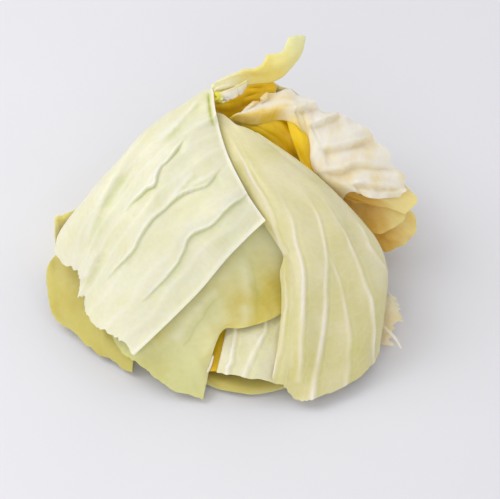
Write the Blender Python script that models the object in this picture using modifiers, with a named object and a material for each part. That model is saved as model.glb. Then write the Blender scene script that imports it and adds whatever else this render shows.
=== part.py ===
"""A rough-cut chunk of green cabbage, about 110 mm wide: its leaves lie in layers as they grew.

Two broad outer leaves lean together like a tent. Paler and yellower inner leaves show between them
and spill out at the back right. A cupped base leaf carries the rest on a small flat spot.
Lengths are in millimetres until a mesh is made, and +Z is up.
"""

import math

import bmesh
import bpy
import numpy as np

MM = 0.001

# The front view that the visible leaves are laid out in: it looks down on the chunk from in front.
VIEW_ELEVATION = math.radians(49)
VIEW_DISTANCE = 600
VIEW_TARGET = (6, -5, 22)

# Leaf blades
BLADE = 1.0
THICK_BLADE = 1.3
BASE_SPOT_CUT = 0.9

# Raised ribs: height of the crest over the trough beside it
DEEP_FOLD = 2.4
STRONG_RIB = 1.7
MIDDLE_RIB = 1.2
FAINT_RIB = 0.6

# Side veins of the two outer leaves, as (across, up) in the front view
LEFT_FOLDS = (
    ((0.5, 18), (-1.3, 16), (-7, 11.3), (-11.2, 7), (-16.7, 4.3), (-19.3, -1), (-21.9, -5.8), (-32, -16)),
    ((-8, 24.3), (-12.7, 18.8), (-20.1, 15.7), (-28.2, 8.3), (-31.7, 3.4), (-34.3, -1), (-43.1, -10.2)),
    ((-18.7, 31.5), (-22.4, 27.2), (-26.4, 22.3), (-27.3, 19.1), (-30.3, 17), (-32.8, 14.5), (-36.8, 9.9)),
    ((-35.9, 22.9), (-40.5, 16.2), (-43.5, 9.1), (-45.7, 3.4), (-47.9, -0.1)),
    ((-43.1, -0.1), (-44.4, -3.2), (-46.6, -8.1), (-48.9, -9.6)),
)
LEFT_EDGE_RIB = ((3.5, 7), (-2, 2.4), (-6, -1.6), (-11, -8.6), (-15.4, -12.6), (-20, -17), (-33, -30))
RIGHT_VEINS = (
    ((-6.9, 35.2), (-3.4, 27.7), (-0.2, 22.2), (3.5, 15.3), (6.2, 8.9), (8.1, 2.9), (9.8, -1)),
    ((9.8, -2.4), (9.7, -8), (10.3, -12.6), (9.9, -20), (8.5, -28.7), (5.8, -38.3)),
    ((3.5, 24.3), (8, 17.1), (10.8, 11.2), (12.2, 7.5), (13.6, 1.1), (15, -3.5), (15.2, -10.3), (14, -38)),
    ((11.5, 23), (17.7, 13), (19.8, 8.9), (21.2, 2.9), (21.9, -2.6), (21.4, -10.8), (21.3, -19), (18, -43)),
    ((21.2, 2), (23.7, -3.5), (26, -9.4), (27.3, -15.4), (28, -21.8), (28.3, -28.7), (27, -42)),
    ((19.6, 17.1), (25, 8.4), (28.7, 2), (31, -3), (33.3, -9.9), (35.1, -15.9), (36, -33)),
    ((26.5, 12.8), (31.5, 6.6), (34.2, 1.1), (38.4, -5.3), (40.3, -9.3)),
)
FLAP_VEINS = (
    ((-3.9, -15), (-4, -23.1), (-4.9, -28.9), (-6.6, -35.8)),
    ((3.5, -11.6), (4.3, -22.3), (1.7, -28.9), (-1.7, -35.9)),
)
CREAM_FOLDS = (
    ((10.2, 38.5), (14, 40.2), (20, 41)),
    ((15, 34.5), (20.5, 36.5), (27, 39.3)),
    ((20.7, 28.9), (25.9, 29.5), (31.1, 30.9), (36, 32.6)),
    ((20.7, 22), (26.2, 22.6), (31.1, 24.6), (37.7, 24), (42.6, 23.4)),
    ((25, 17.5), (31.6, 18.8), (38.8, 18), (44.6, 17.7)),
)

# Colours of the blades, from the outside of the head to its heart
CREAM_GREEN = "#E6E8C4"
PALE_GREEN = "#D9DBA6"
LEAF_GREEN = "#C9CC80"
CREAM = "#EADFC4"
BUTTER = "#E6D284"
YELLOW = "#DDBE45"
DEEP_YELLOW = "#D7A90C"


def seen(*points):
    """Places (across, up, height): mm from the middle of the front view, and mm above the ground."""
    across, up, height = np.array(points, float).T
    sine, cosine = math.sin(VIEW_ELEVATION), math.cos(VIEW_ELEVATION)
    target_x, target_y, target_z = VIEW_TARGET
    z = height - target_z
    y = (up * (1 - z * sine / VIEW_DISTANCE) - z * cosine) / (sine - up * cosine / VIEW_DISTANCE)
    nearer = z * sine - y * cosine
    x = across * (1 - nearer / VIEW_DISTANCE)
    return np.column_stack([x + target_x, y + target_y, height])


def placed(*points):
    """Places given as they stand: x, y and z in mm."""
    return np.array(points, float)


def pictured(points):
    """The reverse of seen: how far across and up from its middle the front view shows places in space."""
    sine, cosine = math.sin(VIEW_ELEVATION), math.cos(VIEW_ELEVATION)
    x, y, z = np.moveaxis(points - np.array(VIEW_TARGET), -1, 0)
    scale = VIEW_DISTANCE / (VIEW_DISTANCE - (z * sine - y * cosine))
    return x * scale, (y * sine + z * cosine) * scale


def domed(centre, radii, top, foot, first, last, count=6):
    """Rib lines of a cupped inner leaf: arcs from its top to its foot, between two bearings in degrees."""
    sweep = np.radians(np.linspace(15, 97, 8))
    rows = []
    for bearing in np.radians(np.linspace(first, last, count)):
        x = centre[0] + radii[0] * math.cos(bearing) * np.sin(sweep)
        y = centre[1] + radii[1] * math.sin(bearing) * np.sin(sweep)
        rows.append(np.column_stack([x, y, foot + (top - foot) * np.cos(sweep)]))
    return rows


def spline(points, places):
    """The smooth curve through evenly counted points, read at places from 0 to 1."""
    points = np.asarray(points, float)
    before, after = 2 * points[0] - points[1], 2 * points[-1] - points[-2]
    padded = np.concatenate([[before], points, [after]])
    run = np.clip(places, 0, 1) * (len(points) - 1)
    first = np.minimum(run.astype(int), len(points) - 2)
    t = (run - first).reshape(-1, *[1] * (points.ndim - 1))
    a, b, c, d = (padded[first + step] for step in range(4))
    return b + 0.5 * t * (c - a + t * (2 * a - 5 * b + 4 * c - d + t * (3 * (b - c) + d - a)))


def evened(row, count=9):
    """The same curve with its points spread evenly along its length."""
    fine = spline(row, np.linspace(0, 1, 60))
    length = np.insert(np.cumsum(np.linalg.norm(np.diff(fine, axis=0), axis=1)), 0, 0)
    wanted = np.linspace(0, length[-1], count)
    return np.column_stack([np.interp(wanted, length, fine[:, axis]) for axis in range(3)])


def sheet(rows, u, v):
    """Points of the smooth sheet whose ribs are the rows. u runs from rib to rib and v along them."""
    cage = np.array([evened(row) for row in rows])
    ribs = spline(cage, u[:, 0])
    return np.array([spline(rib, place) for rib, place in zip(ribs, v)])


def outward(points, facing):
    """Unit normals of a sheet, turned to the side that faces the given way."""
    normal = np.cross(np.gradient(points, axis=0), np.gradient(points, axis=1))
    normal /= np.linalg.norm(normal, axis=2, keepdims=True)
    return normal * (1 if (normal @ np.array(facing, float)).mean() > 0 else -1)


def ribbed(height, count, sharp=1, waver=0.08, seed=1):
    """Ribs along the rows. sharp above 1 makes them narrower than the hollows between them."""

    def relief(points, u, v):
        phases = np.random.default_rng(seed).uniform(0, 2 * math.pi, 2)
        bend = waver * (np.sin(9 * v + 5 * u + phases[0]) + 0.6 * np.sin(21 * v + 8 * u + phases[1]))
        return height * (0.5 + 0.5 * np.cos(2 * math.pi * (u * count + bend))) ** sharp

    return relief


def puckered(height, across, along, seed=1):
    """Low blisters of the blade, a few to each side."""

    def relief(points, u, v):
        phases = np.random.default_rng(seed).uniform(0, 2 * math.pi, 4)
        first = np.sin(across * u + 2 * v + phases[0]) * np.sin(along * v + phases[1])
        second = np.sin(1.7 * along * v - across * u + phases[2]) * np.sin(1.4 * across * u + phases[3])
        return height * (first + 0.5 * second)

    return relief


def frilled(height, waves, seed=1):
    """A margin that waves more and more towards the far end of the ribs."""

    def relief(points, u, v):
        phase = np.random.default_rng(seed).uniform(0, 2 * math.pi)
        return height * v**3 * np.sin(2 * math.pi * waves * u + phase)

    return relief


def beside(points, line):
    """How far to the lower right of a line drawn in the front view each point is, and how far along it."""
    across, up = pictured(points)
    path = spline(line, np.linspace(0, 1, 60))
    way = np.gradient(path, axis=0)
    way /= np.linalg.norm(way, axis=1, keepdims=True)
    right = np.column_stack([-way[:, 1], way[:, 0]])
    right *= np.sign(right @ (1, -1))[:, None]
    offset = np.stack([across, up], axis=-1)[..., None, :] - path
    nearest = np.linalg.norm(offset, axis=-1).argmin(axis=-1)
    gap = np.take_along_axis(offset, nearest[..., None, None], axis=-2)[..., 0, :]
    side = (gap * right[nearest]).sum(axis=-1)
    past = np.abs((gap * way[nearest]).sum(axis=-1))
    return side, nearest / 59, past


def veined(lines, crest, width, seen_part=1.0):
    """Raised veins along lines drawn in the front view."""

    def relief(points, u, v):
        height = 0 * u
        for line in lines:
            side, _, past = beside(points, line)
            height = np.maximum(height, crest * np.exp(-((side / width) ** 2) - (past / 1.5) ** 2))
        return height * (u <= seen_part)

    return relief


def folded(lines, depth, width, reach, seen_part=1.0):
    """Folds along lines drawn in the front view: a steep drop on each, then a slow rise below it."""

    def relief(points, u, v):
        height = 0 * u
        for line in lines:
            side, place, past = beside(points, line)
            drop = 1 / (1 + np.exp(-side / width * 4))
            fade = np.clip(place * 5, 0.3, 1) * np.clip(5 - place * 5, 0, 1) * np.exp(-((past / 2) ** 2))
            height = height - depth * fade * drop * np.exp(-np.maximum(side, 0) / reach)
        return height * (u <= seen_part)

    return relief


def limited(relief, first, last):
    """The same relief on the part of the sheet whose u lies from first to last."""
    return lambda points, u, v: relief(points, u, v) * ((u >= first) & (u <= last))


def growing(relief, reach=0.5):
    """The same relief, but flat where the ribs start and at its full height from reach on."""
    return lambda points, u, v: relief(points, u, v) * np.clip(v / reach, 0, 1) ** 1.5


def summed(*reliefs):
    return lambda points, u, v: sum(relief(points, u, v) for relief in reliefs)


def ragged(depth, teeth, seed=1):
    """A torn edge: how far it is bitten in at each place along it, as a share of the leaf."""

    def bite(places):
        bites = np.random.default_rng(seed).uniform(0, depth, teeth + 1)
        return np.interp(places, np.linspace(0, 1, teeth + 1), bites)

    return bite


def straight(places):
    return 0 * places


def grid_places(cells, start, end):
    """u and v of the grid's corners, with the ends of the ribs bitten in by the two edges."""
    across, along = cells
    u = np.linspace(0, 1, across + 1)
    low, high = start(u), 1 - end(u)
    share = np.linspace(0, 1, along + 1)
    v = low[:, None] + (high - low)[:, None] * share[None, :]
    return np.repeat(u[:, None], along + 1, axis=1), v


def srgb(code):
    """Linear colour of an sRGB hex code."""
    parts = [int(code[i : i + 2], 16) / 255 for i in (1, 3, 5)]
    return [p / 12.92 if p <= 0.04045 else ((p + 0.055) / 1.055) ** 2.4 for p in parts] + [1]


def blade_material(name, colour):
    material = bpy.data.materials.new(name)
    material.use_nodes = True
    shader = material.node_tree.nodes["Principled BSDF"]
    shader.inputs["Base Color"].default_value = srgb(colour)
    shader.inputs["Roughness"].default_value = 0.45
    shader.inputs["Metallic"].default_value = 0
    return material


def add_sheet(name, points, facing, colour, thickness):
    """A blade: a grid laid on the points, split into triangles, then thickened inwards."""
    across, along = points.shape[0] - 1, points.shape[1] - 1
    bm = bmesh.new()
    bmesh.ops.create_grid(bm, x_segments=across, y_segments=along, size=0.5)
    for vert in bm.verts:
        column = round((vert.co.x + 0.5) * across)
        step = round((vert.co.y + 0.5) * along)
        vert.co = points[column, step] * MM
    bm.normal_update()
    way = sum((face.normal.dot(facing) * face.calc_area() for face in bm.faces), 0.0)
    if way < 0:
        bmesh.ops.reverse_faces(bm, faces=bm.faces)
    bmesh.ops.triangulate(bm, faces=bm.faces, quad_method="SHORT_EDGE")
    mesh = bpy.data.meshes.new(name)
    bm.to_mesh(mesh)
    bm.free()
    mesh.shade_smooth()
    obj = bpy.data.objects.new(name, mesh)
    obj.data.materials.append(blade_material(name + "_blade", colour))
    wall = obj.modifiers.new("blade", "SOLIDIFY")
    wall.thickness = thickness * MM
    wall.offset = -1
    bpy.data.collections["green_cabbage_chunk"].objects.link(obj)
    return obj


def leaf(name, rows, facing, colour, cells, relief=None, start=straight, end=straight, thickness=BLADE):
    """One leaf from its rib lines. facing is the way its ribbed outer side looks."""
    u, v = grid_places(cells, start, end)
    points = sheet(rows, u, v)
    if relief:
        points += outward(points, facing) * relief(points, u, v)[:, :, None]
    return add_sheet(name, points, facing, colour, thickness)


# The outer leaves, in front


def outer_leaf_left():
    """The broad pale leaf on the left. Its lowest rib is its bottom edge, and it wraps round the back."""
    rows = [
        seen(
            (-35, -32, 12), (-25, -22.5, 20), (-15, -12.5, 28),
            (-7, -3, 34.5), (0, 4.2, 39.5), (4.5, 8.5, 42),
        ),
        seen(
            (-42, -26.5, 13), (-32.5, -15.5, 24), (-22.5, -5, 34),
            (-18, 1, 38), (-10.5, 8.5, 43), (-1, 17, 47),
        ),
        seen(
            (-48, -19, 13), (-42, -9.5, 23), (-36, -2, 32),
            (-28.5, 8, 41), (-18.5, 18.5, 46.5), (-6, 26.5, 50.5),
        ),
        seen(
            (-49.5, -14, 16), (-45, -4.5, 25), (-39.5, 4.5, 34),
            (-32, 14.5, 43), (-24.5, 24.5, 48.5), (-8.5, 34, 52.5),
        ),
        seen(
            (-51, -9.5, 19), (-47.5, 0.5, 27.5), (-42.5, 10, 36),
            (-35, 20.5, 43), (-26, 30.5, 49), (-10, 40.5, 54),
        ),
        seen(
            (-56.5, -2.5, 20), (-54, 4.5, 27), (-48, 13, 35), (-40, 22.5, 42),
            (-30.9, 32.8, 48), (-24.7, 38.7, 50.5), (-17.5, 42.9, 52.8), (-10.8, 46.2, 54),
        ),
        placed((-47, 4, 19), (-40, 9, 28), (-31, 14, 35), (-20, 24, 42), (-7, 33.5, 44)),
        placed((-45.5, 8.5, 12), (-40, 16, 17), (-32, 24, 24), (-20, 32, 31), (-7.5, 38, 34)),
        placed((-44, 12, 3), (-39, 21, 5), (-31, 29, 9), (-20, 35, 14), (-8, 40, 20)),
    ]
    relief = summed(
        limited(folded(LEFT_FOLDS, DEEP_FOLD, 1.3, 5), 0, 0.63),
        limited(veined([LEFT_EDGE_RIB], FAINT_RIB, 1.6), 0, 0.3),
        limited(ribbed(MIDDLE_RIB, 10, seed=3), 0.64, 1),
        puckered(0.35, 17, 11, seed=5),
    )
    return leaf(
        "outer_leaf_left", rows, (-1, -2, 2), CREAM_GREEN, (44, 15), relief, start=ragged(0.06, 16, seed=7)
    )


def outer_leaf_right():
    """The broad leaf on the right. Its veins fan down, and its left edge lies under the other one."""
    rows = [
        seen(
            (-10.5, 39.5, 51), (-7.5, 28.5, 48.5), (-3, 18.5, 44.5), (3.5, 8, 39), (9.5, -1.5, 33.5),
            (8.5, -4.5, 31), (9, -14.5, 23.5), (8, -27.5, 14.5), (6, -39, 7),
        ),
        seen(
            (-8, 39, 51), (-3.5, 27.5, 49), (1, 19.5, 46), (6.5, 8.5, 40.5), (11, -1.5, 34.5),
            (12, -14.5, 25), (11, -27.5, 15), (9, -40, 6.5),
        ),
        seen(
            (-6.5, 38, 51), (0.5, 25, 49), (7, 15.5, 45.5), (12, 8, 41),
            (15, -3.5, 34), (15, -17.5, 24), (14.5, -30.5, 14), (13, -44, 3),
        ),
        seen(
            (-4, 36, 51), (5, 25, 49), (14, 16.5, 45), (19, 8.5, 40),
            (21.5, -3, 33), (22, -16, 23.5), (21.5, -29, 13.5), (19.5, -43.5, 3),
        ),
        seen(
            (-1, 35, 50.5), (10, 24.5, 47.5), (19, 15.5, 43), (25.5, 7, 38),
            (29.5, -3.5, 31), (32, -14.5, 22.5), (32.5, -26, 13), (30.5, -38.5, 3),
        ),
        seen(
            (1, 34, 50), (12.5, 24.5, 46), (22, 16, 41.5), (28.5, 7.5, 36),
            (34.5, -2.5, 29), (37, -12, 21.5), (37, -22.5, 13), (35.5, -34, 3),
        ),
        seen(
            (3.5, 32.5, 48), (14, 25.5, 44), (23, 18, 39), (30.5, 10, 34),
            (36.5, 2, 28), (39, -6.5, 21), (39, -17, 13.5), (37.5, -29, 4),
        ),
        placed(
            (11, 18, 38), (20, 15, 34), (30, 9.5, 29), (38.5, 3, 23),
            (43.5, -3.5, 18), (44.5, -11.5, 13), (42.5, -21, 6),
        ),
    ]
    relief = summed(veined(RIGHT_VEINS, 1.1, 1.2), growing(puckered(0.45, 13, 9, seed=13)))
    return leaf(
        "outer_leaf_right", rows, (1, -2, 2), PALE_GREEN, (32, 18), relief, end=ragged(0.025, 12, seed=17)
    )


def front_flap_leaf():
    """The pale flap between the two outer leaves, which flares at the bottom."""
    rows = [
        seen((-6.4, -17, 13.5), (-6.8, -22.3, 13.2), (-8.2, -29.5, 11.3), (-9.7, -35.6, 8.5)),
        seen((-4, -16.5, 14.5), (-4.2, -22.5, 14.2), (-5.2, -29.8, 12.2), (-6.6, -36.2, 8.5)),
        seen((0.2, -16, 15.2), (0, -22.5, 14.7), (-1, -30, 12.6), (-2.6, -36.8, 8.5)),
        seen((5.5, -16, 15.4), (5.3, -22.5, 14.2), (4, -30.3, 12), (2, -37.8, 7.5)),
        seen((12, -16, 15.6), (11.5, -22.5, 13), (10.5, -30.5, 9), (7.5, -39, 5)),
    ]
    return leaf("front_flap_leaf", rows, (0, -1, 1), PALE_GREEN, (15, 10), veined(FLAP_VEINS, 1.0, 1.2))


def under_leaf_front():
    """The greener leaf under the bottom edge of the left one, which goes on as a hollow above the flap."""
    rows = [
        seen((-43, -21.5, 9.5), (-31.5, -11.5, 18.5), (-20, -1.5, 28.5), (-7, 9, 37), (0, 12, 38.5)),
        seen((-36, -31, 9), (-24.5, -21, 17), (-13, -11, 24.5), (-3, -1, 31), (6, 5.5, 35)),
        seen((-30, -36, 6), (-20.5, -27.5, 12.5), (-11.5, -18, 19.5), (-1.5, -9, 25.5), (10.5, -3, 29)),
        seen((-22.5, -41, 3), (-16.5, -34, 8), (-10.5, -25, 14.5), (-1, -15.5, 20.5), (10.5, -11.5, 22.5)),
        seen(
            (-13.5, -43.5, 1.5), (-12, -36, 6), (-10.6, -29.5, 10.8), (-9.2, -26, 13.6),
            (-7.2, -23, 15.9), (-3, -22.6, 17), (10, -22, 16.4),
        ),
    ]
    return leaf("under_leaf_front", rows, (-1, -2, 2), LEAF_GREEN, (14, 14), ribbed(FAINT_RIB, 4, seed=23))


def under_leaf_left():
    """The edge of a lower layer, below the ragged edge of the left leaf."""
    rows = [
        seen((-53.5, 0, 18), (-49.5, -8, 15.5), (-44.5, -15, 12.5), (-33, -26, 9)),
        seen((-57.5, -3.5, 14.5), (-54.5, -11.5, 11), (-49, -19, 8.5), (-33.5, -31.5, 5.5)),
        seen((-59, -11, 8), (-56.5, -19, 4), (-49.5, -27, 2), (-34, -36.5, 1)),
    ]
    return leaf("under_leaf_left", rows, (-1, -1, 1), LEAF_GREEN, (6, 12), puckered(0.4, 5, 9, seed=29))


# The leaves that show at the top and spill out behind


def crinkled_leaf():
    """The cream inner leaf at the back right, folded into strong ridges that run out to its edge."""
    rows = [
        seen((-6.4, 37.8, 50), (-3.6, 39.4, 51.2), (0.8, 42.6, 50.5)),
        seen((1.8, 37, 49.5), (3.6, 40.6, 51), (7, 46.8, 47)),
        seen((9, 37.6, 48.5), (10.8, 41.2, 49.5), (14.4, 44.9, 46)),
        seen((14.4, 35, 46), (17.8, 38.2, 46), (21.6, 40.1, 42.5)),
        seen((17.3, 30, 43), (24.4, 35, 42.5), (30.5, 37.5, 38)),
        seen((17.8, 26.3, 41), (28.2, 30.6, 39.5), (37.7, 31.5, 33.5)),
        seen((19.6, 22.3, 39), (31.6, 24.9, 36.5), (42.6, 24, 29.5)),
        seen((23.4, 19, 36.5), (34.5, 19.4, 33.5), (45.7, 18.5, 26.5)),
        seen((27.5, 16.3, 33), (35, 15, 31.5), (43.9, 15.2, 26)),
    ]
    relief = summed(
        folded(CREAM_FOLDS, DEEP_FOLD, 1.2, 3), ribbed(FAINT_RIB, 9, seed=31), frilled(FAINT_RIB, 6, seed=37)
    )
    return leaf("crinkled_leaf", rows, (1, 0, 2), CREAM, (36, 10), relief)


def tip_leaf():
    """The narrow leaf whose blunt end sticks up above the top."""
    rows = [
        seen(
            (-12, 47.5, 56), (-7, 50, 55.8), (-2, 52, 55.5),
            (3, 53.5, 55.5), (9, 57, 57), (10.7, 61.3, 59.4),
        ),
        seen(
            (-11, 46, 55.2), (-5.5, 48.3, 54), (0, 50, 53),
            (5.5, 51.5, 53), (11.5, 56, 56), (13.6, 62, 59.3),
        ),
        seen((-10, 45, 55.4), (-4, 46.5, 52.4), (2, 47.5, 50), (8, 49, 49), (14, 55, 54), (16, 61.5, 58.5)),
    ]
    return leaf("tip_leaf", rows, (0, 1, 0), BUTTER, (6, 16), puckered(0.25, 5, 9, seed=39))


def curled_lip():
    """A torn white margin that curls over at the top of the outer leaves."""
    rows = [
        seen((-8.2, 45, 56.8), (-4.8, 46.4, 57), (-0.6, 48.4, 56)),
        seen((-7.8, 43.3, 55.4), (-4.2, 44.8, 54.6), (-0.8, 47.2, 53.6)),
        seen((-7.2, 41.8, 53.6), (-3.6, 43.2, 52.4), (-0.9, 45.7, 51.6)),
    ]
    return leaf("curled_lip", rows, (0, -1, 1), CREAM, (5, 8), thickness=BLADE * 0.8)


def gold_leaf_back():
    """The deep yellow inner leaf that shows in the gap at the top."""
    rows = [
        seen((-11, 45, 48.4), (-6, 46.5, 48.2), (1, 48.5, 47.5), (8, 48.5, 45.5)),
        seen((-11, 41.5, 46.6), (-6, 42.5, 46.4), (1, 44.5, 45.5), (8, 44, 43)),
        seen((-11, 37.5, 42.5), (-6, 38, 42), (1, 39, 40.5), (8.5, 39, 38)),
    ]
    return leaf("gold_leaf_back", rows, (0, 1, 0), DEEP_YELLOW, (12, 8), puckered(0.4, 9, 9, seed=41))


def heart_leaf():
    """The deep yellow leaf of the heart, behind the edge of the right outer leaf."""
    rows = [
        seen((-6, 38, 47), (1.5, 39, 46), (10.5, 38, 42)),
        seen((-3, 36, 43.5), (3.5, 35, 41.5), (11, 33, 36)),
        seen((-1, 33, 37), (6, 30.5, 35), (11.5, 26.5, 30)),
    ]
    return leaf("heart_leaf", rows, (0, 1, 0), DEEP_YELLOW, (12, 9), puckered(0.5, 9, 8, seed=43))


def heart_fold_leaf():
    """A narrow yellow fold beside the heart leaf."""
    rows = [
        seen((10, 37, 42.5), (12, 31.5, 39.5), (15.5, 25, 36)),
        seen((14, 37, 42), (17.5, 31.5, 39), (20.5, 24.5, 36)),
    ]
    return leaf("heart_fold_leaf", rows, (0, -1, 1), YELLOW, (5, 8), puckered(0.3, 4, 7, seed=47))


def petal_leaf_upper():
    """The highest of three yellow leaves that look out from under the crinkled one."""
    rows = [
        placed((21, 23, 34), (31, 22.5, 31.5), (40, 23, 28), (46, 24, 24)),
        np.vstack([placed((25, 17, 32)), seen((26.5, 18.5, 30.5), (35, 19.5, 28), (44.5, 19, 24))]),
        np.vstack([placed((27, 14, 30)), seen((28.5, 15.5, 28.5), (37, 15.5, 26.5), (48.5, 15, 23.5))]),
        seen((29.5, 13.5, 25.5), (37.5, 12.5, 24), (45.5, 10, 21)),
    ]
    return leaf("petal_leaf_upper", rows, (1, 0, 1), YELLOW, (10, 11), puckered(0.35, 6, 8, seed=53))


def petal_leaf_middle():
    """The next yellow leaf below it."""
    rows = [
        placed((26, 21, 27), (36, 20, 25), (44, 20, 22), (49.5, 20, 19)),
        seen((27, 16, 25), (36, 14.5, 23), (44.5, 13, 19.8)),
        seen((29.5, 11.5, 21.5), (37.5, 9.5, 20), (45, 9.5, 18)),
        seen((33, 7, 18), (37.5, 4.5, 17), (43, 7.5, 16)),
    ]
    return leaf("petal_leaf_middle", rows, (1, 0, 1), YELLOW, (10, 11), puckered(0.35, 6, 8, seed=57))


def petal_leaf_lower():
    """The lowest of the three."""
    rows = [
        placed((37, 20, 18), (44, 19, 16.5), (51, 19, 14)),
        seen((31.5, 10, 16.5), (39.5, 9, 15.5), (47.5, 10, 14)),
        seen((34.5, 5, 14), (41, 4, 13), (48.5, 5.5, 12)),
        seen((37.5, -0.5, 9.5), (40.5, -0.5, 9), (46.5, 3, 9.5)),
    ]
    return leaf("petal_leaf_lower", rows, (1, 0, 1), YELLOW, (10, 9), puckered(0.35, 6, 8, seed=59))


def inner_leaf_right():
    """A cupped inner leaf on the right, which the yellow ones lie on."""
    rows = domed((4, 6), (33, 30), 29, 9, -58, 122, count=9)
    relief = ribbed(MIDDLE_RIB, 7, sharp=2, seed=83)
    return leaf("inner_leaf_right", rows, (1, 1, 0), BUTTER, (27, 9), relief, end=ragged(0.06, 12, seed=89))


def inner_leaf_left():
    """A cupped inner leaf on the left, under the outer one."""
    rows = domed((-4, 4), (33, 30), 29, 9, 130, 225)
    relief = ribbed(MIDDLE_RIB, 4, sharp=2, seed=97)
    return leaf("inner_leaf_left", rows, (-1, 0, 0), BUTTER, (15, 8), relief, end=ragged(0.06, 12, seed=101))


def torn_leaf_right():
    """A jagged scrap of a lower leaf at the right, behind the edge of the right outer leaf."""
    rows = [
        seen((34, -9, 8), (38, -11.6, 9.5), (43.4, -14.8, 10)),
        seen((33.5, -14, 6), (38.5, -16, 7.5), (46, -19.2, 8)),
        seen((33, -19, 4), (38.5, -21, 4.5), (44.5, -24, 5)),
        seen((32, -25, 2), (37, -27, 1.8), (42.5, -28, 2)),
    ]
    return leaf("torn_leaf_right", rows, (1, 0, 1), BUTTER, (9, 7), end=ragged(0.24, 8, seed=61))


# The leaves underneath and behind


def base_leaf():
    """The cupped leaf at the bottom, ribbed side down, which carries the others on its flat spot."""
    rows = [
        placed((-22, -30, 4), (-8, -37, 3.5), (6, -41.5, 3.5), (21, -37, 4), (32, -30, 5)),
        placed((-37, -18, 4.5), (-16, -22, 1.2), (4, -23, 0.8), (22, -21, 1.5), (38, -14, 4.5)),
        placed((-39, 2, 4.5), (-18, -1, 0.6), (0, -1, 0), (20, -1, 0.6), (38, 3, 4.5)),
        placed((-34, 20, 4), (-18, 18, 1), (0, 20, 0.8), (20, 18, 1), (33, 20, 4)),
        placed((-22, 31, 4), (-12, 36.5, 3.5), (0, 41, 4), (14, 41, 4), (26, 36, 4)),
    ]
    u, v = grid_places((20, 16), ragged(0.05, 9, seed=103), ragged(0.07, 10, seed=107))
    points = sheet(rows, u, v)
    points[:, :, 2] -= BASE_SPOT_CUT + ribbed(MIDDLE_RIB, 7, sharp=2, seed=109)(points, u, v)
    points[:, :, 2] = np.maximum(points[:, :, 2], 0)
    return add_sheet("base_leaf", points, (0, 0, -1), BUTTER, THICK_BLADE)


def back_leaf():
    """The upright leaf that closes the back, from the ground to just under the tip."""
    rows = [
        placed((-15, 44, 3), (-16, 46, 16), (-13, 42.5, 30), (-8, 36, 42)),
        placed((-4, 46, 2), (-4, 48, 18), (-2, 46, 36), (1, 39, 48)),
        placed((8, 46, 2), (9, 48, 18), (10, 46.5, 35), (10, 44, 43.5)),
        placed((20, 42, 2), (22, 44, 17), (22, 43.5, 30), (19, 41.5, 38)),
        placed((31, 36, 2), (34, 37, 13), (33, 36, 24), (31, 33, 32)),
        placed((38, 29, 2), (42, 29.5, 9), (42, 29.5, 16), (40, 28.5, 20)),
    ]
    relief = summed(ribbed(MIDDLE_RIB, 5, sharp=2, seed=67), puckered(0.3, 11, 9, seed=71))
    return leaf("back_leaf", rows, (1, 2, 0), PALE_GREEN, (25, 12), relief, end=ragged(0.04, 10, seed=73))


def back_skirt_leaf():
    """The low yellow leaf outside the left one at the back. Its corner looks out at the left."""
    rows = [
        placed((-49, 4, 1), (-51, 6, 11), (-50.5, 9.5, 21.5)),
        placed((-43, 17, 1), (-45.5, 17, 9), (-45, 15, 17.5)),
        placed((-35, 27, 1), (-38, 28, 6), (-38.5, 27, 11)),
        placed((-24, 35, 1), (-26, 37, 8), (-26.5, 36.5, 16)),
        placed((-13, 38, 1), (-14, 41, 8), (-14, 42.5, 15)),
    ]
    return leaf("back_skirt_leaf", rows, (-1, 1, 0), YELLOW, (20, 7), ribbed(FAINT_RIB, 4, seed=79))


def clear_scene():
    for obj in list(bpy.data.objects):
        bpy.data.objects.remove(obj)


def main():
    clear_scene()
    chunk = bpy.data.collections.new("green_cabbage_chunk")
    bpy.context.scene.collection.children.link(chunk)
    outer_leaf_left()
    outer_leaf_right()
    front_flap_leaf()
    under_leaf_front()
    under_leaf_left()
    crinkled_leaf()
    tip_leaf()
    curled_lip()
    gold_leaf_back()
    heart_leaf()
    heart_fold_leaf()
    petal_leaf_upper()
    petal_leaf_middle()
    petal_leaf_lower()
    inner_leaf_right()
    inner_leaf_left()
    torn_leaf_right()
    base_leaf()
    back_leaf()
    back_skirt_leaf()


main()
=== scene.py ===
"""A rough-cut chunk of green cabbage on a pale floor, dressed leaf by leaf over its CAD frame.

Every leaf is a curved sheet between rib lines, with folds, raised veins, blisters and a torn or cut edge,
thickened to a blade. Lengths are in millimetres until a mesh is made. +Z is up and the front is -Y.
"""

import math

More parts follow.
